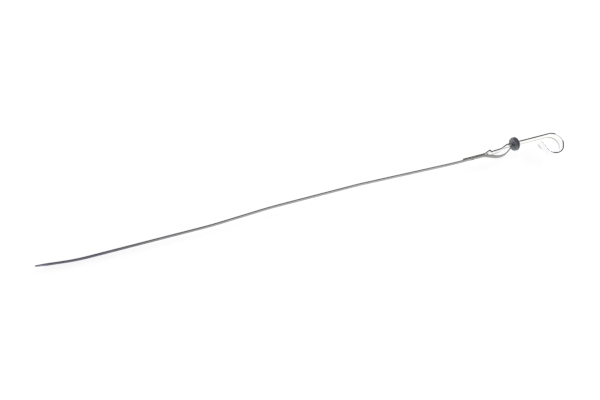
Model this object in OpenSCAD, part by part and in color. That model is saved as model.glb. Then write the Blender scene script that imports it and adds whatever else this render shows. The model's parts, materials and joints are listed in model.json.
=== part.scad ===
// Engine oil dipstick: a narrow blade, a hooked handle strip and a rubber seal for the mouth of the tube.
// It lies on the edges of its strips, so every bend is in the plane of the floor, apart from a slight lean.
// The strips are laid out with the seal's middle at the origin, the hook at +X and the dip tip at -X.

/* [Strips] */
// Thickness of both strips
strip_thickness = 1; // [0.8:0.1:1.2]
// Width of the handle strip
handle_width = 9; // [9:0.5:12]
// Width of the blade
blade_width = 5; // [4:0.5:6]
// How far the blade's middle lies above the handle's
blade_offset = 1.2; // [0:0.1:1.5]

/* [Hook] */
// From the seal's middle to the start of the hook
shank_run = 37.3; // [30:0.5:60]
// Turn of the outer bend of the hook
outer_angle = 118; // [105:1:120]
// Radius of the outer bend
outer_radius = 10.3; // [9:0.1:14]
// Straight piece between the two bends
back_run = 3.2; // [3:0.1:8]
// Turn of the returning bend
return_angle = 141; // [125:1:142]
// Radius of the returning bend
return_radius = 9; // [8:0.1:11]
// Straight piece up to the free end
free_run = 10.5; // [5:0.5:11]
// Corner radius of the free end
free_corner = 2; // [1:0.25:3.5]

/* [Lap and detent] */
// Length over which the handle lies flat on the blade
lap_length = 23.25; // [18:0.25:35]
// How far the handle's line in the lap lies off the seal's axis
lap_set = 3.75; // [3.5:0.05:5]
// Corner radius of the handle's lower end
lap_corner = 0.5; // [0.5:0.25:2]
// Slope of the ramp that leads up to the detent
ramp_angle = 20; // [16:1:22]
// Radius of the bend at the foot of the ramp
ramp_radius = 8; // [5:0.5:12]
// Length of the ramp between its bends
ramp_run = 5; // [4:0.25:8]
// Slope of the detent's steep drop
drop_angle = 74; // [65:1:80]
// Length of the drop between its two tight bends
drop_run = 0.7; // [0.4:0.1:1.2]
// Radius of the two tight bends
kink_radius = 0.9; // [0.8:0.05:1.2]
// Length of the arm behind the detent
arm_run = 9.25; // [7:0.25:14]
// Slight slope of that arm
arm_angle = 3; // [0:0.5:5]
// Slope of the rise to the seal's axis
rise_angle = 24; // [20:1:32]
// Radius of the two bends of the rise
rise_radius = 9; // [7:0.5:12]
// Straight piece from the rise to the seal's middle
neck_run = 9; // [8:0.5:14]

/* [Bow of the blade] */
// Slope at which the blade leaves the handle
bow_angle = 22; // [18:1:28]
// Radius of the bend where it leaves
bow_radius = 8; // [5:0.5:12]
// Radius of the bow's belly
belly_radius = 15; // [12:0.5:18]
// Slope at which the blade comes into the seal
entry_angle = 33; // [28:1:38]
// Radius of the bend inside the seal's mouth
entry_radius = 3; // [2.5:0.25:4]
// Where that bend ends, measured back from the seal's middle
entry_reach = 1.6; // [1:0.1:2]
// Straight end of the blade inside the seal
tail_run = 3.6; // [2.5:0.1:4]

/* [Set of the blade] */
// Radius of the slow bends the blade has taken
set_radius = 400; // [300:10:600]
// Straight piece below the lap
first_run = 3.5; // [0:0.5:20]
// First slow bend, toward the far side
first_angle = 2; // [0:0.1:3]
// Straight piece after the first bend
second_run = 87; // [60:1:120]
// Second slow bend, back again
second_angle = 2.1; // [0:0.1:3]
// Straight piece after the second bend
third_run = 75; // [50:1:90]
// Third slow bend, toward the near side
third_angle = 2.65; // [0:0.05:4]
// Straight piece after the third bend
fourth_run = 40; // [30:1:60]
// Fourth slow bend, level again
fourth_angle = 2.9; // [0:0.1:4]
// Straight piece after the fourth bend
fifth_run = 109; // [80:1:150]
// Curl of the dip end
tip_angle = 6.5; // [3:0.1:10]
// Radius of that curl
tip_radius = 200; // [150:10:300]
// Straight piece up to the tip
tip_run = 27; // [15:0.5:40]
// Length over which the blade narrows to its round nose
nose_length = 9; // [6:0.5:14]
// Radius of the nose
nose_radius = 1.2; // [0.8:0.1:1.8]

/* [Level marks] */
// From the tip to the low mark
low_mark = 26; // [20:1:35]
// From the low mark to the full mark
mark_span = 32; // [20:1:40]
// Width of a mark's groove
mark_width = 0.9; // [0.6:0.1:1.5]
// Depth of a mark's groove
mark_depth = 0.2; // [0.1:0.05:0.3]

/* [Spot weld] */
// Diameter of the electrode's dimple
dimple_diameter = 3; // [2:0.25:3.5]
// Depth of the dimple
dimple_depth = 0.2; // [0.1:0.05:0.3]

/* [Seal] */
// Diameter of the flange on the tube's side
front_diameter = 14.3; // [14:0.1:18]
// Diameter of the flange on the hook's side
back_diameter = 14.2; // [13.5:0.1:14.2]
// From the seal's middle to its face on the hook's side
seal_reach = 2.8; // [2.4:0.1:3.5]
// Diameter of the flat face on the tube's side
lead_diameter = 12.7; // [11.5:0.1:13.5]
// Length of the slope from that face up to the flange's rim
lead_width = 1.4; // [0.8:0.1:2.5]
// Width of the rim on the tube's side
front_width = 0.8; // [0.6:0.1:2]
// Thickness of the flange on the hook's side
back_width = 2.1; // [2:0.1:3]
// Width of the groove between the flanges
groove_width = 1; // [0.8:0.1:1.5]
// Depth of that groove
groove_depth = 1; // [0.5:0.1:1.2]
// Chamfer of the outer corner on the hook's side
back_chamfer = 1.6; // [0.4:0.1:1.7]
// Chamfer of the corners at the groove
edge_chamfer = 0.2; // [0.1:0.05:0.3]
// Gap all round each strip in its slot
slot_gap = 0.04; // [0.02:0.01:0.1]

/* [Hidden] */
arc_tolerance = 0.005;
over = 1;
seal_facets = 72;
nose_steps = 16;
half = strip_thickness / 2;
handle_middle = handle_width / 2;
blade_low = handle_middle + blade_offset - blade_width / 2;
blade_high = blade_low + blade_width;
seal_width = lead_width + front_width + groove_width + back_width;
blade_line = -strip_thickness;

// A station is a place on a strip's middle line with its heading: [x, y, heading].
// A move is [length of a straight piece, turn to the left in degrees, radius of that turn].
function last(list) = list[len(list) - 1];
function ahead(s, run) = [s[0] + run * cos(s[2]), s[1] + run * sin(s[2]), s[2]];
function around(s, turn, radius) =
    let (r = sign(turn) * radius, to = s[2] + turn)
    [s[0] + r * (sin(to) - sin(s[2])), s[1] + r * (cos(s[2]) - cos(to)), to];
function pieces(turn, radius) = max(2, ceil(abs(turn) / (2 * acos(1 - arc_tolerance / radius))));
function bend(s, turn, radius) =
    turn == 0 ? [] :
    let (n = pieces(turn, radius))
    [for (k = [1 : n]) around(s, turn * k / n, radius)];
function walk(s, moves, i = 0) =
    i == len(moves) ? [] :
    let (a = ahead(s, moves[i][0]), turned = bend(a, moves[i][1], moves[i][2]))
    concat(moves[i][0] > 0 ? [a] : [], turned, walk(len(turned) > 0 ? last(turned) : a, moves, i + 1));
function place(list, way, i = 0) =
    let (step = [list[i + 1][0] - list[i][0], list[i + 1][1] - list[i][1]], long = norm(step))
    way > long ? place(list, way - long, i + 1) :
    [list[i][0] + step[0] * way / long, list[i][1] + step[1] * way / long, atan2(step[1], step[0])];
function beside(s, out) = [s[0] - out * sin(s[2]), s[1] + out * cos(s[2])];
function reversed(list) = [for (i = [len(list) - 1 : -1 : 0]) [list[i][0], list[i][1], list[i][2] - 180]];
function outline(stations, out) =
    concat([for (s = stations) beside(s, out)],
        [for (i = [len(stations) - 1 : -1 : 0]) beside(stations[i], -out)]);

// Handle strip: from its end in the lap, over the detent, along the seal's axis and round the hook.
lap_start = [0, -lap_set, 0];
arm_moves = [
    [lap_length, ramp_angle, ramp_radius],
    [ramp_run, -ramp_angle - drop_angle, kink_radius],
    [drop_run, drop_angle + arm_angle, kink_radius],
    [arm_run, rise_angle - arm_angle, rise_radius]];
rise_foot = last(walk(lap_start, arm_moves));
rise_run = (-rise_foot[1] - rise_radius * (1 - cos(rise_angle))) / sin(rise_angle);
handle_moves = concat(arm_moves, [
    [rise_run, -rise_angle, rise_radius],
    [neck_run + shank_run, -outer_angle, outer_radius],
    [back_run, -return_angle, return_radius],
    [free_run, 0, 0]]);
rise_top = around(ahead(rise_foot, rise_run), -rise_angle, rise_radius);
lap_end_x = -rise_top[0] - neck_run;
handle_start = [lap_end_x, -lap_set, 0];
handle_stations = concat([handle_start], walk(handle_start, handle_moves));
free_end = last(handle_stations);

// Blade: from the handle's ramp through the bow into the seal, and the other way to the dip tip.
part_x = lap_end_x + lap_length;
bow_start = [part_x, -lap_set - strip_thickness, 0];
bow_unset = around(around(around(bow_start, -bow_angle, bow_radius), bow_angle + entry_angle, belly_radius),
    -entry_angle, entry_radius);
to_go = [-entry_reach - bow_unset[0], blade_line - bow_unset[1]];
bow_down_run = (to_go[0] * sin(entry_angle) - to_go[1] * cos(entry_angle)) / sin(bow_angle + entry_angle);
bow_up_run = (to_go[0] * sin(bow_angle) + to_go[1] * cos(bow_angle)) / sin(bow_angle + entry_angle);
bow_moves = [
    [0, -bow_angle, bow_radius],
    [bow_down_run, bow_angle + entry_angle, belly_radius],
    [bow_up_run, -entry_angle, entry_radius],
    [tail_run, 0, 0]];
dip_moves = [
    [lap_length + first_run, -first_angle, set_radius],
    [second_run, second_angle, set_radius],
    [third_run, third_angle, set_radius],
    [fourth_run, -fourth_angle, set_radius],
    [fifth_run, -tip_angle, tip_radius],
    [tip_run, 0, 0]];
dip_stations = walk([part_x, bow_start[1], 180], dip_moves);
blade_stations = concat(reversed(dip_stations), [bow_start], walk(bow_start, bow_moves));
tip = last(dip_stations);

// The nose seen on the blade's face, from the tip: two slanting flanks that run into a round end.
nose_corner = [nose_radius - nose_length, blade_width / 2];
nose_slant = atan2(nose_corner[1], nose_corner[0]) - acos(nose_radius / norm(nose_corner));
nose_flank = sqrt(pow(norm(nose_corner), 2) - pow(nose_radius, 2)) + over;
nose_round = [for (k = [1 : -2 / nose_steps : -1])
    [nose_radius * (cos(k * nose_slant) - 1), nose_radius * sin(k * nose_slant)]];
nose_shoulder = nose_round[0] + nose_flank * [-sin(nose_slant), cos(nose_slant)];
weld_x = lap_end_x + lap_length / 2;

// How it lies: on the seal's rim, the hook's lower edge and the blade's lower edge near the dip end.
// The floor seen from the strips is z = rim_z + pitch * x + roll * (y - rim_y); the slopes are found by turns.
function rim(roll) = let (n = norm([roll, 1])) [0, front_diameter / 2 * roll / n, handle_middle - front_diameter / 2 / n];
function corners(stations, z) = [for (p = outline(stations, half)) [p[0], p[1], z]];
hook_feet = corners([for (s = handle_stations) if (s[0] > shank_run) s], 0);
dip_feet = corners(dip_stations, blade_low);
function roll_for(pitch, foot) = max([for (p = hook_feet)
    if (p[1] < foot[1] - front_diameter / 2) (p[2] - foot[2] - pitch * p[0]) / (p[1] - foot[1])]);
function pitch_for(roll, foot) = max([for (p = dip_feet)
    if (p[0] < part_x) (p[2] - foot[2] - roll * (p[1] - foot[1])) / p[0]]);
function settle(pitch, roll, times) =
    times == 0 ? [pitch, roll] :
    let (r = roll_for(pitch, rim(roll)))
    settle(pitch_for(r, rim(r)), r, times - 1);
slopes = settle(0, 0, 12);
rim_foot = rim(slopes[1]);
lean = atan(-slopes[1]);
dip = atan(slopes[0] * cos(lean));

function leaned(p) =
    let (y = p[1] * cos(lean) - p[2] * sin(lean), z = p[1] * sin(lean) + p[2] * cos(lean))
    [p[0] * cos(dip) + z * sin(dip), y, z * cos(dip) - p[0] * sin(dip)];
reach_points = [for (z = [0, handle_width]) each [for (p = corners(handle_stations, z)) leaned(p)]];
dip_points = [for (z = [blade_low, blade_high]) each [for (p = corners(blade_stations, z)) leaned(p)]];
all_points = concat(reach_points, dip_points);
middle_x = (max([for (p = all_points) p[0]]) + min([for (p = all_points) p[0]])) / 2;
seal_far = leaned([0, 0, handle_middle])[1] + front_diameter / 2;
middle_y = (seal_far + min([for (p = all_points) p[1]])) / 2;
floor_z = leaned(rim_foot)[2];

module laid() {
    translate([-middle_x, -middle_y, -floor_z])
        rotate([lean, dip, 0])
            children();
}

// A square corner less its rounding, along the strip's face: taken off an end's corner.
// The strip ends at x = 0 of this piece, runs to -x, and z = 0 is its lower edge.
module corner_waste(radius) {
    difference() {
        translate([-radius, -over - strip_thickness, -over])
            cube([radius + over, 2 * (over + strip_thickness), radius + over]);
        translate([-radius, 0, radius])
            rotate([90, 0, 0])
                cylinder(r = radius, h = 4 * (over + strip_thickness), center = true, $fn = 48);
    }
}

module end_waste(s, radius, low, high) {
    translate([s[0], s[1], 0])
        rotate([0, 0, s[2]]) {
            translate([0, 0, low])
                corner_waste(radius);
            translate([0, 0, high])
                mirror([0, 0, 1])
                    corner_waste(radius);
        }
}

module strip(stations, out, low, high) {
    translate([0, 0, low])
        linear_extrude(high - low)
            polygon(outline(stations, out));
}

module dimple(y, out) {
    translate([weld_x, y, handle_middle])
        rotate([-90 * out, 0, 0])
            translate([0, 0, -dimple_depth])
                cylinder(d = dimple_diameter, h = dimple_depth + over, $fn = 48);
}

// A groove across the near face of the blade, a given way back from the tip.
module mark(back) {
    spot = place(blade_stations, back);
    translate([spot[0], spot[1], blade_low - over])
        rotate([0, 0, spot[2]])
            translate([-mark_width / 2, -half - over, 0])
                cube([mark_width, over + mark_depth, blade_width + 2 * over]);
}

// What is cut off the blade's end to leave the tapered, round nose.
module nose_waste() {
    through = 2 * (over + strip_thickness);
    back = nose_length + over / 2;
    translate([tip[0], tip[1], blade_low + blade_width / 2])
        rotate([0, 0, tip[2]])
            difference() {
                translate([-back, -through / 2, -blade_width / 2 - over])
                    cube([back + over, through, blade_width + 2 * over]);
                rotate([90, 0, 0])
                    linear_extrude(2 * through, center = true)
                        polygon(concat(
                            [nose_shoulder],
                            nose_round,
                            [[nose_shoulder[0], -nose_shoulder[1]]]));
            }
}

module blade() {
    color("DimGray")
        laid()
            difference() {
                strip(blade_stations, half, blade_low, blade_high);
                nose_waste();
                dimple(-lap_set - strip_thickness - half, -1);
                mark(low_mark);
                mark(low_mark + mark_span);
            }
}

module handle() {
    color("Silver")
        laid()
            difference() {
                strip(handle_stations, half, 0, handle_width);
                end_waste([handle_start[0], handle_start[1], 180], lap_corner, 0, handle_width);
                end_waste(free_end, free_corner, 0, handle_width);
                dimple(-lap_set + half, 1);
            }
}

// Half section of the seal: distance from the axis, then distance along it from the tube's side.
module seal_section() {
    lead = lead_diameter / 2;
    front = front_diameter / 2;
    back = back_diameter / 2;
    groove_start = lead_width + front_width;
    back_start = groove_start + groove_width;
    polygon([
        [0, 0],
        [lead, 0],
        [front, lead_width],
        [front, groove_start - edge_chamfer],
        [front - edge_chamfer, groove_start],
        [front - groove_depth, groove_start],
        [front - groove_depth, back_start],
        [back - edge_chamfer, back_start],
        [back, back_start + edge_chamfer],
        [back, seal_width - back_chamfer],
        [back - back_chamfer, seal_width],
        [0, seal_width]]);
}

module seal() {
    color("DarkSlateGray")
        laid()
            difference() {
                translate([seal_reach - seal_width, 0, handle_middle])
                    rotate([0, 90, 0])
                        rotate_extrude($fn = seal_facets)
                            seal_section();
                strip(handle_stations, half + slot_gap, -slot_gap, handle_width + slot_gap);
                strip(blade_stations, half + slot_gap, blade_low - slot_gap, blade_high + slot_gap);
            }
}

blade();
handle();
seal();
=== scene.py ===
"""Engine oil dipstick: blade, hooked handle strip and rubber seal, lying on a white table."""

import json
import math

import bmesh
import bpy
from mathutils import Matrix, Vector


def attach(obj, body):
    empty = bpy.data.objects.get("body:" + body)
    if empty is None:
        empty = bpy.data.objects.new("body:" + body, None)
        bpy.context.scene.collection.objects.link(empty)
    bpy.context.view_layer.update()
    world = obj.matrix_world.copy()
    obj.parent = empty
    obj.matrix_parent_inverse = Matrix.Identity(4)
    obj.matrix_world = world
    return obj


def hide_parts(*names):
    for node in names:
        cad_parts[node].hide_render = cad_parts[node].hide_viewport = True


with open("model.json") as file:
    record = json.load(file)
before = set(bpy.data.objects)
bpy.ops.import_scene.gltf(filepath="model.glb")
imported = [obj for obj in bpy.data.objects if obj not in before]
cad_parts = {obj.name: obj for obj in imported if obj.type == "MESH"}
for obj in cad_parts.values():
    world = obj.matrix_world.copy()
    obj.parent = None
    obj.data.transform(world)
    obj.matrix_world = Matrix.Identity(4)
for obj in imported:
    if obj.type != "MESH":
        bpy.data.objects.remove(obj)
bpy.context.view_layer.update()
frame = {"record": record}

MM = 0.001

# Both strips
THICKNESS = 1.0 * MM
CROWN = 0.12 * MM
SOFT_EDGE = 0.07 * MM
LAP_LINE = -3.75 * MM
LAP_LENGTH = 23.25 * MM
LAP_END_X = -61.3087 * MM
DIMPLE_RADIUS = 1.5 * MM
DIMPLE_DEPTH = 0.1 * MM

# The handle strip: turns in degrees, with the radius of the strip's middle line
HANDLE_WIDTH = 9.0 * MM
LAP_CORNER = 0.5 * MM
RAMP_TURN, RAMP_BEND, RAMP_RUN = 20, 8 * MM, 5 * MM
DROP_TURN, DROP_RUN, KINK_BEND = 74, 0.7 * MM, 0.9 * MM
ARM_TURN, ARM_RUN = 3, 9.25 * MM
RISE_TURN, RISE_BEND, RISE_RUN = 24, 9 * MM, 3.5667 * MM
SHANK_RUN = 46.3 * MM
OUTER_TURN, OUTER_BEND, BACK_RUN = 118, 10.3 * MM, 3.2 * MM
RETURN_TURN, RETURN_BEND, FREE_RUN = 141, 9 * MM, 10.5 * MM
FREE_CORNER = 2 * MM
HOOK_GRIP = Vector((37.3, -11.0, 4.5)) * MM

# The blade
BLADE_WIDTH = 5.0 * MM
BLADE_LOW = 3.2 * MM
BLADE_HIGH = BLADE_LOW + BLADE_WIDTH
BLADE_MIDDLE = (BLADE_LOW + BLADE_HIGH) / 2
BLADE_END_X, BLADE_END_Y = 2.0 * MM, -1.0 * MM
TAIL_RUN, ENTRY_TURN, ENTRY_BEND, ENTRY_RUN = 3.6 * MM, 33, 3 * MM, 11.1028 * MM
BOW_TURN, BELLY_BEND, BOW_BEND, BOW_RUN = 22, 15 * MM, 8 * MM, 9.413 * MM
FIRST_RUN = 3.5 * MM
WAVES = ((-2, 4, 87, 9), (2.1, 4, 75, 8), (2.65, 5, 40, 4), (-2.9, 5, 109, 11))
WAVE_BEND = 400 * MM
TIP_TURN, TIP_BEND, TIP_RUN = 6.5, 200 * MM, 18 * MM
NOSE_RUN, NOSE_HALF, NOSE_CORNER = 9 * MM, 1.0 * MM, 0.95 * MM
NOSE_NARROWING = 2 * 1.019 / 5
MARKS = (26 * MM, 58 * MM)
MARK_WIDTH, MARK_DEPTH = 0.9 * MM, 0.2 * MM

# The seal: its rings as (place along the axis, radius) in millimetres
SEAL_AXIS = 4.5 * MM
SEAL_RINGS = (
    (-2.5, 6.35), (-1.1, 7.148), (-0.3, 7.148), (-0.3, 6.15), (0.7, 6.15),
    (0.7, 7.1), (1.2, 7.1), (2.0, 6.5), (2.8, 5.5))
SEAL_SOFT_EDGE = 0.22 * MM
SLOT_GAP = 0.04 * MM

# The camera of the photograph, in millimetres along the strips' own directions
CAMERA_PLACE = Vector((-281.95, -174.67, 448.6))
CAMERA_AWAY = Vector((0.10077, 0.36249, -0.9265))
CAMERA_RIGHT = Vector((0.96347, -0.26783, 0))
LENS, SENSOR = 28.8, 36

# The lamp
LAMP_WAY = Vector((0.8725, 0.384, 0.3015))
LAMP_AWAY, LAMP_SIZE, LAMP_POWER = 3.0, 1.08, 37
LAMP_AIM = Vector((45, -12, 5))


def strip_pose():
    """From the strips' own directions (along the seal's axis, across, up the width) to the shared frame."""
    mounts = {m["name"]: m for m in frame["record"]["mounts"]}
    along = -Vector(mounts["tube_seat"]["axis"]).normalized()
    up = Vector(mounts["finger_hook"]["axis"]).normalized()
    across = up.cross(along).normalized()
    turn = Matrix((along, across, up)).transposed()
    place = Vector(mounts["finger_hook"]["pos_m"]) - turn @ HOOK_GRIP
    return Matrix.Translation(place) @ turn.to_4x4()


POSE = strip_pose()


# Working by hand in the 3D view

def alone(*objects):
    bpy.ops.object.select_all(action="DESELECT")
    for piece in objects:
        piece.select_set(True)
    bpy.context.view_layer.objects.active = objects[0]


def named(name):
    piece = bpy.context.object
    piece.name = name
    piece.data.name = name
    return piece


def edit(piece):
    alone(piece)
    bpy.ops.object.mode_set(mode="EDIT")


def leave():
    bpy.ops.object.mode_set(mode="OBJECT")


def pick_edges(piece, wanted):
    """Selects the edges whose two ends both pass the test."""
    mesh = bmesh.from_edit_mesh(piece.data)
    bpy.ops.mesh.select_mode(type="EDGE")
    bpy.ops.mesh.select_all(action="DESELECT")
    for e in mesh.edges:
        if wanted(e.verts[0].co) and wanted(e.verts[1].co):
            e.select_set(True)
    bmesh.update_edit_mesh(piece.data)


def apply_modifier(piece, kind, **settings):
    alone(piece)
    made = piece.modifiers.new(kind.lower(), kind)
    for key, value in settings.items():
        setattr(made, key, value)
    bpy.ops.object.modifier_apply(modifier=made.name)


def cut(piece, tool):
    apply_modifier(piece, "BOOLEAN", operation="DIFFERENCE", solver="EXACT", object=tool)
    bpy.data.objects.remove(tool)


# Bending strip

def pick_points(piece, wanted):
    mesh = bmesh.from_edit_mesh(piece.data)
    bpy.ops.mesh.select_mode(type="VERT")
    bpy.ops.mesh.select_all(action="DESELECT")
    for v in mesh.verts:
        if wanted(v.co):
            v.select_set(True)
    bmesh.update_edit_mesh(piece.data)


def crown_edges(piece, place, low, high):
    """Gives the two narrow sides of a strip's section the slight crown of rolled strip."""
    middle = Vector((place[0], place[1], 0))
    for edge_z, way in ((low, 1), (high, -1)):
        pick_edges(piece, lambda co: abs(co.z - edge_z) < 0.01 * MM)
        bpy.ops.mesh.subdivide(number_cuts=3)
        for least, most, sink in ((0.4, 0.6, CROWN), (0.2, 0.3, 0.25 * CROWN)):
            pick_points(piece, lambda co: abs(co.z - edge_z) < 0.01 * MM and least * THICKNESS
                        < (Vector((co.x, co.y, 0)) - middle).length < most * THICKNESS)
            bpy.ops.transform.translate(value=(0, 0, way * sink))
    bpy.ops.mesh.select_mode(type="FACE")
    bpy.ops.mesh.select_all(action="SELECT")


def strip_start(name, place, thickness, low, high):
    """A strip's end face at place = [x, y, heading in degrees], ready to be drawn out along its heading."""
    bpy.ops.object.select_all(action="DESELECT")
    bpy.ops.mesh.primitive_plane_add(
        size=1, location=(place[0], place[1], (low + high) / 2),
        rotation=(math.pi / 2, 0, math.radians(place[2]) + math.pi / 2))
    piece = named(name)
    piece.scale = (thickness, high - low, 1)
    bpy.ops.object.transform_apply(location=True, rotation=True, scale=True)
    edit(piece)
    bpy.ops.mesh.select_all(action="SELECT")
    return piece


def straight(place, run, parts=1):
    heading = math.radians(place[2])
    for _ in range(parts):
        step = (run / parts * math.cos(heading), run / parts * math.sin(heading), 0)
        bpy.ops.mesh.extrude_region_move(TRANSFORM_OT_translate={"value": step})
        place[0] += step[0]
        place[1] += step[1]


def bent(place, turn, radius, parts):
    """Bends the strip to the left by turn degrees (to the right when it is negative)."""
    side = math.copysign(radius, turn)
    heading = math.radians(place[2])
    centre = (place[0] - side * math.sin(heading), place[1] + side * math.cos(heading))
    bpy.ops.mesh.spin(steps=parts, angle=-math.radians(turn), center=(centre[0], centre[1], 0), axis=(0, 0, 1))
    place[2] += turn
    heading = math.radians(place[2])
    place[0] = centre[0] + side * math.sin(heading)
    place[1] = centre[1] - side * math.cos(heading)


def strip_done():
    bpy.ops.mesh.select_all(action="SELECT")
    bpy.ops.mesh.normals_make_consistent(inside=False)
    leave()


def round_end(piece, place, low, high, radius):
    """Rounds the two corners of a strip's end, seen on its face."""
    end = Vector((place[0], place[1], 0))
    edit(piece)
    pick_edges(piece, lambda co: (Vector((co.x, co.y, 0)) - end).length < 0.6 * THICKNESS
               and (co.z < low + 0.2 * MM or co.z > high - 0.2 * MM))
    mesh = bmesh.from_edit_mesh(piece.data)
    for e in mesh.edges:
        if e.select and e.calc_length() > 1.2 * THICKNESS:
            e.select_set(False)
    bmesh.update_edit_mesh(piece.data)
    bpy.ops.mesh.bevel(offset=radius, segments=8, affect="EDGES")
    leave()


def soften(piece, width, segments=3):
    apply_modifier(piece, "BEVEL", width=width, segments=segments, limit_method="ANGLE",
                   angle_limit=math.radians(40), use_clamp_overlap=False, miter_outer="MITER_ARC")
    edit(piece)
    bpy.ops.mesh.select_all(action="SELECT")
    bpy.ops.mesh.normals_make_consistent(inside=False)
    leave()
    bpy.ops.object.shade_smooth_by_angle(angle=math.radians(35))
    apply_modifier(piece, "WEIGHTED_NORMAL", keep_sharp=True)


def press_dimple(piece, y, outward):
    """The shallow round print of the welding electrode."""
    bpy.ops.object.select_all(action="DESELECT")
    bpy.ops.mesh.primitive_cone_add(
        vertices=40, radius1=DIMPLE_RADIUS / 1.5, radius2=DIMPLE_RADIUS, depth=DIMPLE_DEPTH,
        location=(LAP_END_X + LAP_LENGTH / 2, y - outward * DIMPLE_DEPTH / 2, SEAL_AXIS),
        rotation=(-outward * math.pi / 2, 0, 0))
    tool = named("electrode")
    edit(tool)
    pick_edges(tool, lambda co: abs(co.y - y) < 0.01 * MM)
    bpy.ops.mesh.select_mode(type="FACE")
    mesh = bmesh.from_edit_mesh(tool.data)
    bpy.ops.mesh.select_all(action="DESELECT")
    for f in mesh.faces:
        if len(f.verts) > 20 and abs(f.calc_center_median().y - y) < 0.01 * MM:
            f.select_set(True)
    bmesh.update_edit_mesh(tool.data)
    bpy.ops.mesh.extrude_region_move(TRANSFORM_OT_translate={"value": (0, outward * 0.5 * MM, 0)})
    bpy.ops.mesh.select_all(action="SELECT")
    bpy.ops.mesh.normals_make_consistent(inside=False)
    leave()
    cut(piece, tool)


# The handle strip

def model_handle():
    place = [LAP_END_X, LAP_LINE, 0.0]
    piece = strip_start("handle_strip", place, THICKNESS, 0, HANDLE_WIDTH)
    crown_edges(piece, place, 0, HANDLE_WIDTH)
    lap_end = [place[0], place[1]]
    straight(place, LAP_LENGTH, 3)
    bent(place, RAMP_TURN, RAMP_BEND, 6)
    straight(place, RAMP_RUN)
    bent(place, -RAMP_TURN - DROP_TURN, KINK_BEND, 12)
    straight(place, DROP_RUN)
    bent(place, DROP_TURN + ARM_TURN, KINK_BEND, 10)
    straight(place, ARM_RUN)
    bent(place, RISE_TURN - ARM_TURN, RISE_BEND, 6)
    straight(place, RISE_RUN)
    bent(place, -RISE_TURN, RISE_BEND, 6)
    straight(place, SHANK_RUN, 4)
    bent(place, -OUTER_TURN, OUTER_BEND, 28)
    straight(place, BACK_RUN)
    bent(place, -RETURN_TURN, RETURN_BEND, 32)
    straight(place, FREE_RUN)
    strip_done()
    round_end(piece, lap_end, 0, HANDLE_WIDTH, LAP_CORNER)
    round_end(piece, place, 0, HANDLE_WIDTH, FREE_CORNER)
    press_dimple(piece, LAP_LINE + THICKNESS / 2, 1)
    soften(piece, SOFT_EDGE)
    return piece


# The blade

def model_blade():
    place = [BLADE_END_X, BLADE_END_Y, 180.0]
    piece = strip_start("blade_strip", place, THICKNESS, BLADE_LOW, BLADE_HIGH)
    crown_edges(piece, place, BLADE_LOW, BLADE_HIGH)
    straight(place, TAIL_RUN)
    bent(place, ENTRY_TURN, ENTRY_BEND, 8)
    straight(place, ENTRY_RUN)
    bent(place, -ENTRY_TURN - BOW_TURN, BELLY_BEND, 14)
    straight(place, BOW_RUN)
    bent(place, BOW_TURN, BOW_BEND, 6)
    straight(place, LAP_LENGTH + FIRST_RUN, 3)
    for turn, turn_parts, run, run_parts in WAVES:
        bent(place, turn, WAVE_BEND, turn_parts)
        straight(place, run * MM, run_parts)
    bent(place, -TIP_TURN, TIP_BEND, 8)
    straight(place, TIP_RUN, 2)
    straight(place, NOSE_RUN)
    bpy.ops.transform.resize(value=(1, 1, NOSE_NARROWING), center_override=(place[0], place[1], BLADE_MIDDLE))
    strip_done()
    round_end(piece, place, BLADE_MIDDLE - NOSE_HALF, BLADE_MIDDLE + NOSE_HALF, NOSE_CORNER)
    press_dimple(piece, LAP_LINE - 1.5 * THICKNESS, -1)
    for back in MARKS:
        cut(piece, level_mark(place, back))
    soften(piece, SOFT_EDGE)
    return piece


def level_mark(tip, back):
    """A shallow groove sawn across the blade's near face."""
    straight_run = TIP_RUN + NOSE_RUN
    heading = math.radians(tip[2])
    at = Vector((tip[0], tip[1])) - min(back, straight_run) * Vector((math.cos(heading), math.sin(heading)))
    if back > straight_run:
        swept = min((back - straight_run) / TIP_BEND, math.radians(TIP_TURN))
        centre = at + TIP_BEND * Vector((math.sin(heading), -math.cos(heading)))
        heading += swept
        at = centre + TIP_BEND * Vector((-math.sin(heading), math.cos(heading)))
        left = back - straight_run - swept * TIP_BEND
        at -= left * Vector((math.cos(heading), math.sin(heading)))
    near = Vector((-math.sin(heading), math.cos(heading)))
    file_height = 1.0 * MM
    spot = at + near * (THICKNESS / 2 - MARK_DEPTH + file_height / 2)
    bpy.ops.object.select_all(action="DESELECT")
    bpy.ops.mesh.primitive_cube_add(size=1, location=(spot.x, spot.y, BLADE_MIDDLE), rotation=(0, 0, heading),
                                    scale=(MARK_WIDTH, file_height, 7 * MM))
    return named("level_file")


# The seal

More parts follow.
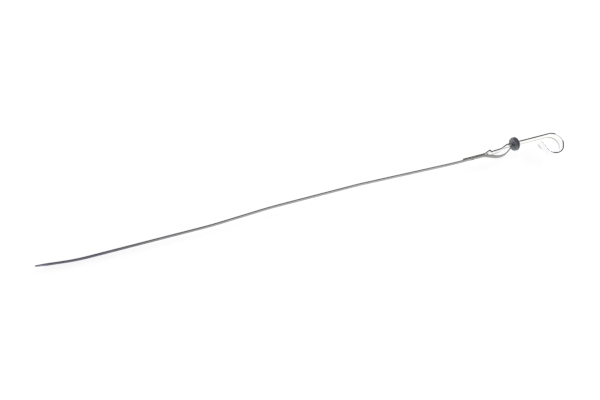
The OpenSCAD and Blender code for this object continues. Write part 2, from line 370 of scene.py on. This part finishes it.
def model_seal():
    bpy.ops.object.select_all(action="DESELECT")
    first = SEAL_RINGS[0]
    bpy.ops.mesh.primitive_circle_add(vertices=96, radius=first[1] * MM, fill_type="NGON",
                                      location=(first[0] * MM, 0, SEAL_AXIS), rotation=(0, math.pi / 2, 0))
    piece = named("tube_seal")
    bpy.ops.object.transform_apply(location=True, rotation=True, scale=True)
    edit(piece)
    bpy.ops.mesh.select_all(action="SELECT")
    for before, ring in zip(SEAL_RINGS, SEAL_RINGS[1:]):
        bpy.ops.mesh.extrude_region_move(TRANSFORM_OT_translate={"value": ((ring[0] - before[0]) * MM, 0, 0)})
        if ring[1] != before[1]:
            grow = ring[1] / before[1]
            bpy.ops.transform.resize(value=(1, grow, grow), center_override=(ring[0] * MM, 0, SEAL_AXIS))
    bpy.ops.mesh.select_all(action="SELECT")
    bpy.ops.mesh.normals_make_consistent(inside=False)
    leave()
    soften(piece, SEAL_SOFT_EDGE)
    bpy.ops.object.select_all(action="DESELECT")
    bpy.ops.mesh.primitive_cube_add(size=1, location=(0, 0, SEAL_AXIS),
                                    scale=(20 * MM, THICKNESS + 2 * SLOT_GAP, HANDLE_WIDTH + 2 * SLOT_GAP))
    cut(piece, named("handle_slot"))
    place = [BLADE_END_X + SLOT_GAP, BLADE_END_Y, 180.0]
    slot = strip_start("blade_slot", place, THICKNESS + 2 * SLOT_GAP, BLADE_LOW - SLOT_GAP, BLADE_HIGH + SLOT_GAP)
    straight(place, TAIL_RUN + SLOT_GAP)
    bent(place, ENTRY_TURN, ENTRY_BEND, 8)
    straight(place, 8 * MM)
    strip_done()
    cut(piece, slot)
    edit(piece)
    bpy.ops.mesh.select_all(action="SELECT")
    bpy.ops.mesh.normals_make_consistent(inside=False)
    leave()
    bpy.ops.object.shade_smooth_by_angle(angle=math.radians(30))
    return piece


# Finishes

def shader(name):
    made = bpy.data.materials.new(name)
    made.use_nodes = True
    tree = made.node_tree
    tree.nodes.clear()
    out = tree.nodes.new("ShaderNodeOutputMaterial")
    body = tree.nodes.new("ShaderNodeBsdfPrincipled")
    tree.links.new(body.outputs[0], out.inputs["Surface"])
    return made, tree, body


def wire(tree, kind, settings=None, **inputs):
    """Adds a node; values given as sockets are linked, others are set. Double underscores stand for spaces."""
    n = tree.nodes.new(kind)
    for key, value in (settings or {}).items():
        setattr(n, key, value)
    for key, value in inputs.items():
        socket = n.inputs[int(key[1:])] if key[0] == "i" and key[1:].isdigit() else n.inputs[key.replace("__", " ")]
        if isinstance(value, bpy.types.NodeSocket):
            tree.links.new(value, socket)
        else:
            socket.default_value = value
    return n


def ramp(tree, fac, stops):
    n = tree.nodes.new("ShaderNodeValToRGB")
    tree.links.new(fac, n.inputs[0])
    while len(n.color_ramp.elements) < len(stops):
        n.color_ramp.elements.new(0.5)
    for element, (at, value) in zip(n.color_ramp.elements, stops):
        element.position = at
        element.color = (*value, 1) if isinstance(value, tuple) else (value, value, value, 1)
    return n.outputs[0]


def new_group(name, inputs, outputs):
    """An empty node group; each input and output is its name and its kind of socket."""
    tree = bpy.data.node_groups.new(name, "ShaderNodeTree")
    for label, kind, value in inputs:
        socket = tree.interface.new_socket(label, in_out="INPUT", socket_type="NodeSocket" + kind)
        socket.default_value = value
    for label, kind in outputs:
        tree.interface.new_socket(label, in_out="OUTPUT", socket_type="NodeSocket" + kind)
    return tree, tree.nodes.new("NodeGroupInput"), tree.nodes.new("NodeGroupOutput")


def use_group(tree, group, **inputs):
    return wire(tree, "ShaderNodeGroup", {"node_tree": group}, **inputs)


def rolled_grain():
    """Fine lines that run along a strip, as rolling leaves them."""
    tree, given, out = new_group(
        "rolled_grain", [("Vector", "Vector", (0, 0, 0)), ("Run", "Float", 60.0), ("Fineness", "Float", 2500.0)],
        [("Lines", "Float")])
    scale = wire(tree, "ShaderNodeCombineXYZ", X=given.outputs["Run"], Y=given.outputs["Fineness"],
                 Z=given.outputs["Fineness"])
    laid = wire(tree, "ShaderNodeVectorMath", {"operation": "MULTIPLY"}, i0=given.outputs["Vector"],
                i1=scale.outputs[0])
    lines = wire(tree, "ShaderNodeTexNoise", Vector=laid.outputs[0], Scale=1.0, Detail=4.0)
    tree.links.new(lines.outputs["Fac"], out.inputs["Lines"])
    return tree


def smudges():
    """Cloudy patches left by handling, oil and dust."""
    tree, given, out = new_group(
        "smudges", [("Vector", "Vector", (0, 0, 0)), ("Size", "Float", 0.01), ("Contrast", "Float", 1.0)],
        [("Patches", "Float")])
    close = wire(tree, "ShaderNodeMath", {"operation": "DIVIDE"}, i0=1.0, i1=given.outputs["Size"])
    cloud = wire(tree, "ShaderNodeTexNoise", Vector=given.outputs["Vector"], Scale=close.outputs[0], Detail=3.0,
                 Distortion=0.4)
    centred = wire(tree, "ShaderNodeMath", {"operation": "SUBTRACT"}, i0=cloud.outputs["Fac"], i1=0.5)
    spread = wire(tree, "ShaderNodeMath", {"operation": "MULTIPLY_ADD", "use_clamp": True}, i0=centred.outputs[0],
                  i1=given.outputs["Contrast"], i2=0.5)
    tree.links.new(spread.outputs[0], out.inputs["Patches"])
    return tree


def rim_shade():
    """Painted shade along a strip's two rims: a painted contact shadow at the lower rim and a painted dark line at
    the upper one. Height runs from 0 at the lower rim to 1 at the upper one.
    """
    tree, given, out = new_group(
        "rim_shade", [("Clean", "Color", (1, 1, 1, 1)), ("Lower Film", "Color", (0, 0, 0, 1)),
                     ("Upper Film", "Color", (0, 0, 0, 1)), ("Height", "Float", 0.5), ("Lower Reach", "Float", 0.1),
                     ("Upper Reach", "Float", 0.1), ("Lower Share", "Float", 1.0), ("Upper Share", "Float", 1.0)],
        [("Color", "Color")])
    past = wire(tree, "ShaderNodeMath", {"operation": "MULTIPLY"}, i0=given.outputs["Lower Reach"], i1=1.4)
    low = wire(tree, "ShaderNodeMapRange", Value=given.outputs["Height"], From__Min=past.outputs[0],
               From__Max=given.outputs["Lower Reach"])
    start = wire(tree, "ShaderNodeMath", {"operation": "SUBTRACT"}, i0=1.0, i1=given.outputs["Upper Reach"])
    high = wire(tree, "ShaderNodeMath", {"operation": "GREATER_THAN"}, i0=given.outputs["Height"],
                i1=start.outputs[0])
    share = wire(tree, "ShaderNodeMath", {"operation": "MULTIPLY"}, i0=high.outputs[0],
                 i1=given.outputs["Upper Share"])
    low_share = wire(tree, "ShaderNodeMath", {"operation": "MULTIPLY"}, i0=low.outputs[0],
                     i1=given.outputs["Lower Share"])
    first = wire(tree, "ShaderNodeMix", {"data_type": "RGBA"}, i0=low_share.outputs[0], i6=given.outputs["Clean"],
                 i7=given.outputs["Lower Film"])
    second = wire(tree, "ShaderNodeMix", {"data_type": "RGBA"}, i0=share.outputs[0], i6=first.outputs[2],
                  i7=given.outputs["Upper Film"])
    tree.links.new(second.outputs[2], out.inputs["Color"])
    return tree


def round_spot():
    """1 in a round spot, 0 outside it."""
    tree, given, out = new_group(
        "round_spot", [("Vector", "Vector", (0, 0, 0)), ("Centre", "Vector", (0, 0, 0)), ("Radius", "Float", 0.01)],
        [("Share", "Float")])
    away = wire(tree, "ShaderNodeVectorMath", {"operation": "DISTANCE"}, i0=given.outputs["Vector"],
                i1=given.outputs["Centre"])
    inner = wire(tree, "ShaderNodeMath", {"operation": "MULTIPLY"}, i0=given.outputs["Radius"], i1=0.7)
    share = wire(tree, "ShaderNodeMapRange", Value=away.outputs["Value"], From__Min=given.outputs["Radius"],
                 From__Max=inner.outputs[0])
    tree.links.new(share.outputs[0], out.inputs["Share"])
    return tree


def place_of(tree):
    return wire(tree, "ShaderNodeTexCoord").outputs["Object"]


def run_of(tree, direction, start, end):
    """0 at start and 1 at end, measured along one of the strips' own directions."""
    way = POSE.to_3x3() @ Vector(direction)
    reach = wire(tree, "ShaderNodeVectorMath", {"operation": "DOT_PRODUCT"}, i0=place_of(tree), i1=way)
    foot = way.dot(POSE.translation)
    return wire(tree, "ShaderNodeMapRange", Value=reach.outputs["Value"], From__Min=foot + start,
                From__Max=foot + end).outputs[0]


def narrow_side(tree):
    """1 on the sheared narrow sides of a strip, 0 on its broad faces."""
    normal = wire(tree, "ShaderNodeTexCoord").outputs["Normal"]
    up = POSE.to_3x3() @ Vector((0, 0, 1))
    lift = wire(tree, "ShaderNodeVectorMath", {"operation": "DOT_PRODUCT"}, i0=normal, i1=up).outputs["Value"]
    size = wire(tree, "ShaderNodeMath", {"operation": "ABSOLUTE"}, i0=lift).outputs[0]
    return wire(tree, "ShaderNodeMapRange", Value=size, From__Min=0.6, From__Max=0.8).outputs[0]


def sheltered_side(tree):
    """1 on the broad faces that fingers and rag seldom reach, behind the hook and the shank, 0 on the others."""
    normal = wire(tree, "ShaderNodeTexCoord").outputs["Normal"]
    back = POSE.to_3x3() @ Vector((0.89, 0.45, 0))
    turned = wire(tree, "ShaderNodeVectorMath", {"operation": "DOT_PRODUCT"}, i0=normal, i1=back).outputs["Value"]
    return wire(tree, "ShaderNodeMapRange", Value=turned, From__Min=0.05, From__Max=0.35).outputs[0]


def mixed(tree, share, first, second, blend="MIX"):
    return wire(tree, "ShaderNodeMix", {"data_type": "RGBA", "blend_type": blend}, i0=share, i6=first,
                i7=second).outputs[2]


def paint_blade():
    made, tree, body = shader("blade_steel_with_painted_shade")
    grain = use_group(tree, GRAIN, Vector=place_of(tree), Run=60.0, Fineness=2500.0).outputs["Lines"]
    patches = use_group(tree, SMUDGES, Vector=place_of(tree), Size=0.012, Contrast=1.6).outputs["Patches"]
    way = run_of(tree, (1, 0, 0), -492 * MM, -2 * MM)
    # Tone of the faces from the tip (0) to the seal (1): lighter and bluish over the last 8 mm at the tip, dark and
    # bluish from about 11 to 54 mm behind the tip, then lighter step by step to mid grey, with small changes near
    # the lap and the bow. The fall to 0.03 over the last few millimetres before the seal is painted shade where the
    # blade goes into the seal.
    face = ramp(tree, way, [
        (0.0, (0.33, 0.33, 0.41)), (0.016, (0.27, 0.27, 0.35)), (0.022, (0.10, 0.10, 0.155)),
        (0.11, (0.11, 0.109, 0.16)), (0.17, (0.18, 0.178, 0.20)), (0.23, (0.28, 0.28, 0.29)),
        (0.38, (0.43, 0.43, 0.43)), (0.9, (0.46, 0.46, 0.45)), (0.93, (0.36, 0.36, 0.35)),
        (0.95, (0.40, 0.40, 0.39)), (0.968, (0.50, 0.50, 0.49)), (0.986, (0.42, 0.42, 0.41)),
        (0.994, (0.03, 0.03, 0.03))])
    edge = ramp(tree, way, [
        (0.0, (0.27, 0.27, 0.38)), (0.3, (0.30, 0.29, 0.36)), (0.45, (0.38, 0.38, 0.38)), (0.87, (0.45, 0.45, 0.44)),
        (0.89, (0.7, 0.7, 0.69)), (0.95, (0.55, 0.55, 0.54))])
    # Painted shade along the blade's rims: a painted contact shadow at the lower rim, and a painted dark line at the
    # upper rim from just past the lap to the tip.
    height = run_of(tree, (0, 0, 1), BLADE_LOW, BLADE_HIGH)
    rim_shaded = use_group(tree, RIM_SHADE, Clean=face, Lower__Film=(0.12, 0.12, 0.13, 1), Upper__Film=(0.1, 0.1, 0.1, 1),
                       Height=height, Lower__Reach=0.06, Upper__Reach=0.05,
                       Upper__Share=run_of(tree, (1, 0, 0), -60 * MM, -64 * MM)).outputs["Color"]
    tone = mixed(tree, narrow_side(tree), rim_shaded, edge)
    lined = mixed(tree, 0.35, tone, ramp(tree, grain, [(0.3, 0.6), (0.7, 1.0)]), "MULTIPLY")
    tree.links.new(lined, body.inputs["Base Color"])
    body.inputs["Metallic"].default_value = 0.9
    tree.links.new(ramp(tree, patches, [(0.2, 0.38), (0.8, 0.55)]), body.inputs["Roughness"])
    bump = wire(tree, "ShaderNodeBump", Strength=0.15, Distance=0.00005, Height=grain)
    tree.links.new(bump.outputs[0], body.inputs["Normal"])
    return made


def spot_at(tree, centre, radius):
    """A round spot; its centre is in millimetres along the strips' own directions."""
    return use_group(tree, ROUND_SPOT, Vector=place_of(tree), Centre=POSE @ (Vector(centre) * MM),
                     Radius=radius * MM).outputs["Share"]


def both_of(tree, how, first, second):
    return wire(tree, "ShaderNodeMath", {"operation": how, "use_clamp": True}, i0=first, i1=second).outputs[0]


def paint_handle():
    made, tree, body = shader("bright_plated_strip")
    grain = use_group(tree, GRAIN, Vector=place_of(tree), Run=150.0, Fineness=2200.0).outputs["Lines"]
    patches = use_group(tree, SMUDGES, Vector=place_of(tree), Size=0.006, Contrast=1.2).outputs["Patches"]
    # The plate's warm tone, tinted bluish inside the hook as a painted reflection tint.
    inside_hook = run_of(tree, (0, 1, 0), -5 * MM, -10 * MM)
    plate_and_reflection_tint = mixed(tree, inside_hook, ramp(tree, grain, [(0.35, (0.93, 0.93, 0.905)), (0.65, (0.99, 0.99, 0.965))]),
                  ramp(tree, grain, [(0.35, (0.93, 0.93, 0.955)), (0.65, (0.97, 0.97, 1.0))]))
    tone = mixed(tree, sheltered_side(tree), plate_and_reflection_tint, ramp(tree, patches, [(0.1, 0.6), (0.9, 0.8)]), "MULTIPLY")
    height = run_of(tree, (0, 0, 1), 0, HANDLE_WIDTH)
    past_lap = run_of(tree, (1, 0, 0), -38 * MM, -34 * MM)
    # Painted highlights: round spots at the free end and on the hook's outer bend, where the narrow sides are
    # painted near white as the lamp's glint.
    free_end = spot_at(tree, (26.0, -14.0, 4.5), 12.0)
    outer_bend = spot_at(tree, (47.6, -5.8, 9.0), 6.0)
    painted_highlight_spots = both_of(tree, "MAXIMUM", free_end, outer_bend)
    by_seal = spot_at(tree, (-3.0, 0.0, 9.0), 6.5)
    kept = both_of(tree, "SUBTRACT", both_of(tree, "SUBTRACT", past_lap, painted_highlight_spots), by_seal)
    # The lower rim's painted contact shadow: olive along the rim, deepened to 0.03 next to the seal as painted
    # shade, lighter and bluish inside the hook, and left out on the lap and at the free end.
    low_kept = both_of(tree, "SUBTRACT", past_lap, spot_at(tree, (33.0, -22.0, 0.0), 14.0))
    past_seal = run_of(tree, (1, 0, 0), -1 * MM, 3 * MM)
    lower = ramp(tree, past_seal, [(0.0, (0.03, 0.03, 0.03)), (1.0, (0.35, 0.355, 0.28))])
    lower = mixed(tree, inside_hook, lower, (0.46, 0.46, 0.49, 1))
    # The upper rim's painted dark line: 0.125 of the width, narrowing to 0.075 between 30 and 38 mm along the strip,
    # and left out on the lap, in the painted highlight spots and next to the seal.
    upper_reach = ramp(tree, run_of(tree, (1, 0, 0), 30 * MM, 38 * MM), [(0.0, 0.125), (1.0, 0.075)])
    rim_shaded = use_group(tree, RIM_SHADE, Clean=tone, Lower__Film=lower, Upper__Film=(0.03, 0.03, 0.03, 1),
                       Height=height, Lower__Reach=0.15, Upper__Reach=upper_reach, Lower__Share=low_kept,
                       Upper__Share=kept).outputs["Color"]
    edge_side = narrow_side(tree)
    darkened = both_of(tree, "SUBTRACT", past_lap, by_seal)
    # The narrow sides: 0.5 on the lap and next to the seal, 0.2 elsewhere, and near white in the painted highlight
    # spots.
    sheared = mixed(tree, painted_highlight_spots, ramp(tree, darkened, [(0.0, (0.5, 0.5, 0.49)), (1.0, 0.2)]), (0.95, 0.95, 0.97, 1))
    shown = mixed(tree, edge_side, rim_shaded, sheared)
    tree.links.new(shown, body.inputs["Base Color"])
    body.inputs["Metallic"].default_value = 1.0
    face_rough = mixed(tree, by_seal, ramp(tree, patches, [(0.2, 0.30), (0.8, 0.20)]), (0.6, 0.6, 0.6, 1))
    edge_rough = ramp(tree, painted_highlight_spots, [(0.0, 0.16), (1.0, 0.45)])
    tree.links.new(mixed(tree, edge_side, face_rough, edge_rough), body.inputs["Roughness"])
    bump = wire(tree, "ShaderNodeBump", Strength=0.1, Distance=0.00003, Height=grain)
    tree.links.new(bump.outputs[0], body.inputs["Normal"])
    return made


def paint_seal():
    made, tree, body = shader("seal_rubber")
    dust = use_group(tree, SMUDGES, Vector=place_of(tree), Size=0.0012, Contrast=2.0).outputs["Patches"]
    stains = use_group(tree, SMUDGES, Vector=place_of(tree), Size=0.005, Contrast=2.5).outputs["Patches"]
    upper = ramp(tree, dust, [(0.2, (0.145, 0.142, 0.174)), (0.8, (0.34, 0.334, 0.395))])
    lower = ramp(tree, dust, [(0.2, (0.135, 0.157, 0.17)), (0.8, (0.32, 0.362, 0.387))])
    tone = mixed(tree, run_of(tree, (0.38, -0.875, -0.3), -3.5 * MM, 0.3 * MM), upper, lower)
    stained = mixed(tree, 0.5, tone, ramp(tree, stains, [(0.1, 0.5), (0.9, 1.0)]), "MULTIPLY")
    tree.links.new(stained, body.inputs["Base Color"])
    tree.links.new(ramp(tree, dust, [(0.2, 0.42), (0.8, 0.62)]), body.inputs["Roughness"])
    bump = wire(tree, "ShaderNodeBump", Strength=0.3, Distance=0.0001, Height=dust)
    tree.links.new(bump.outputs[0], body.inputs["Normal"])
    return made


def paint_floor():
    made, _, body = shader("white_table")
    body.inputs["Base Color"].default_value = (0.6, 0.6, 0.6, 1)
    body.inputs["Roughness"].default_value = 0.9
    body.inputs["Emission Color"].default_value = (1, 1, 1, 1)
    body.inputs["Emission Strength"].default_value = 0.83
    return made


# Table, light and camera

def set_table():
    bpy.ops.object.select_all(action="DESELECT")
    bpy.ops.mesh.primitive_plane_add(size=8, location=(0, 0, 0))
    table = named("table_top")
    table.data.materials.append(paint_floor())


def set_light():
    world = bpy.data.worlds.new("studio")
    world.use_nodes = True
    tree = world.node_tree
    way = wire(tree, "ShaderNodeTexCoord").outputs["Generated"]
    height = wire(tree, "ShaderNodeSeparateXYZ", Vector=way).outputs[2]
    tone = ramp(tree, height, [(0.0, 1.0), (0.25, 0.8), (0.55, 0.2), (1.0, 0.1)])
    tree.links.new(tone, tree.nodes["Background"].inputs[0])
    bpy.context.scene.world = world
    aim = POSE @ (LAMP_AIM * MM)
    bpy.ops.object.light_add(type="AREA", location=aim + LAMP_WAY * LAMP_AWAY)
    lamp = named("back_right_softbox")
    lamp.data.shape = "DISK"
    lamp.data.size = LAMP_SIZE
    lamp.data.energy = LAMP_POWER
    lamp.data.color = (0.94, 0.94, 1.0)
    lamp.rotation_euler = (aim - lamp.location).to_track_quat("-Z", "Y").to_euler()


def set_camera():
    away = CAMERA_AWAY.normalized()
    right = CAMERA_RIGHT.normalized()
    up = right.cross(away)
    turn = Matrix((right, up, -away)).transposed().to_4x4()
    place = Matrix.Translation(CAMERA_PLACE * MM)
    bpy.ops.object.camera_add()
    camera = bpy.context.object
    camera.name = "photo_camera"
    camera.data.lens = LENS
    camera.data.sensor_width = SENSOR
    camera.data.clip_start = 0.01
    camera.matrix_world = POSE @ place @ turn
    bpy.context.scene.camera = camera


def hand_over(piece, node, finish):
    alone(piece)
    piece.matrix_world = POSE
    bpy.ops.object.transform_apply(location=True, rotation=True, scale=True)
    piece.data.materials.clear()
    piece.data.materials.append(finish)
    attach(piece, "root")
    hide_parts(node)


GRAIN = rolled_grain()
SMUDGES = smudges()
RIM_SHADE = rim_shade()
ROUND_SPOT = round_spot()
handle_strip = model_handle()
blade_strip = model_blade()
tube_seal = model_seal()
hand_over(handle_strip, "handle", paint_handle())
hand_over(blade_strip, "blade", paint_blade())
hand_over(tube_seal, "seal", paint_seal())
set_table()
set_light()
set_camera()
bpy.context.scene.view_settings.view_transform = "Standard"
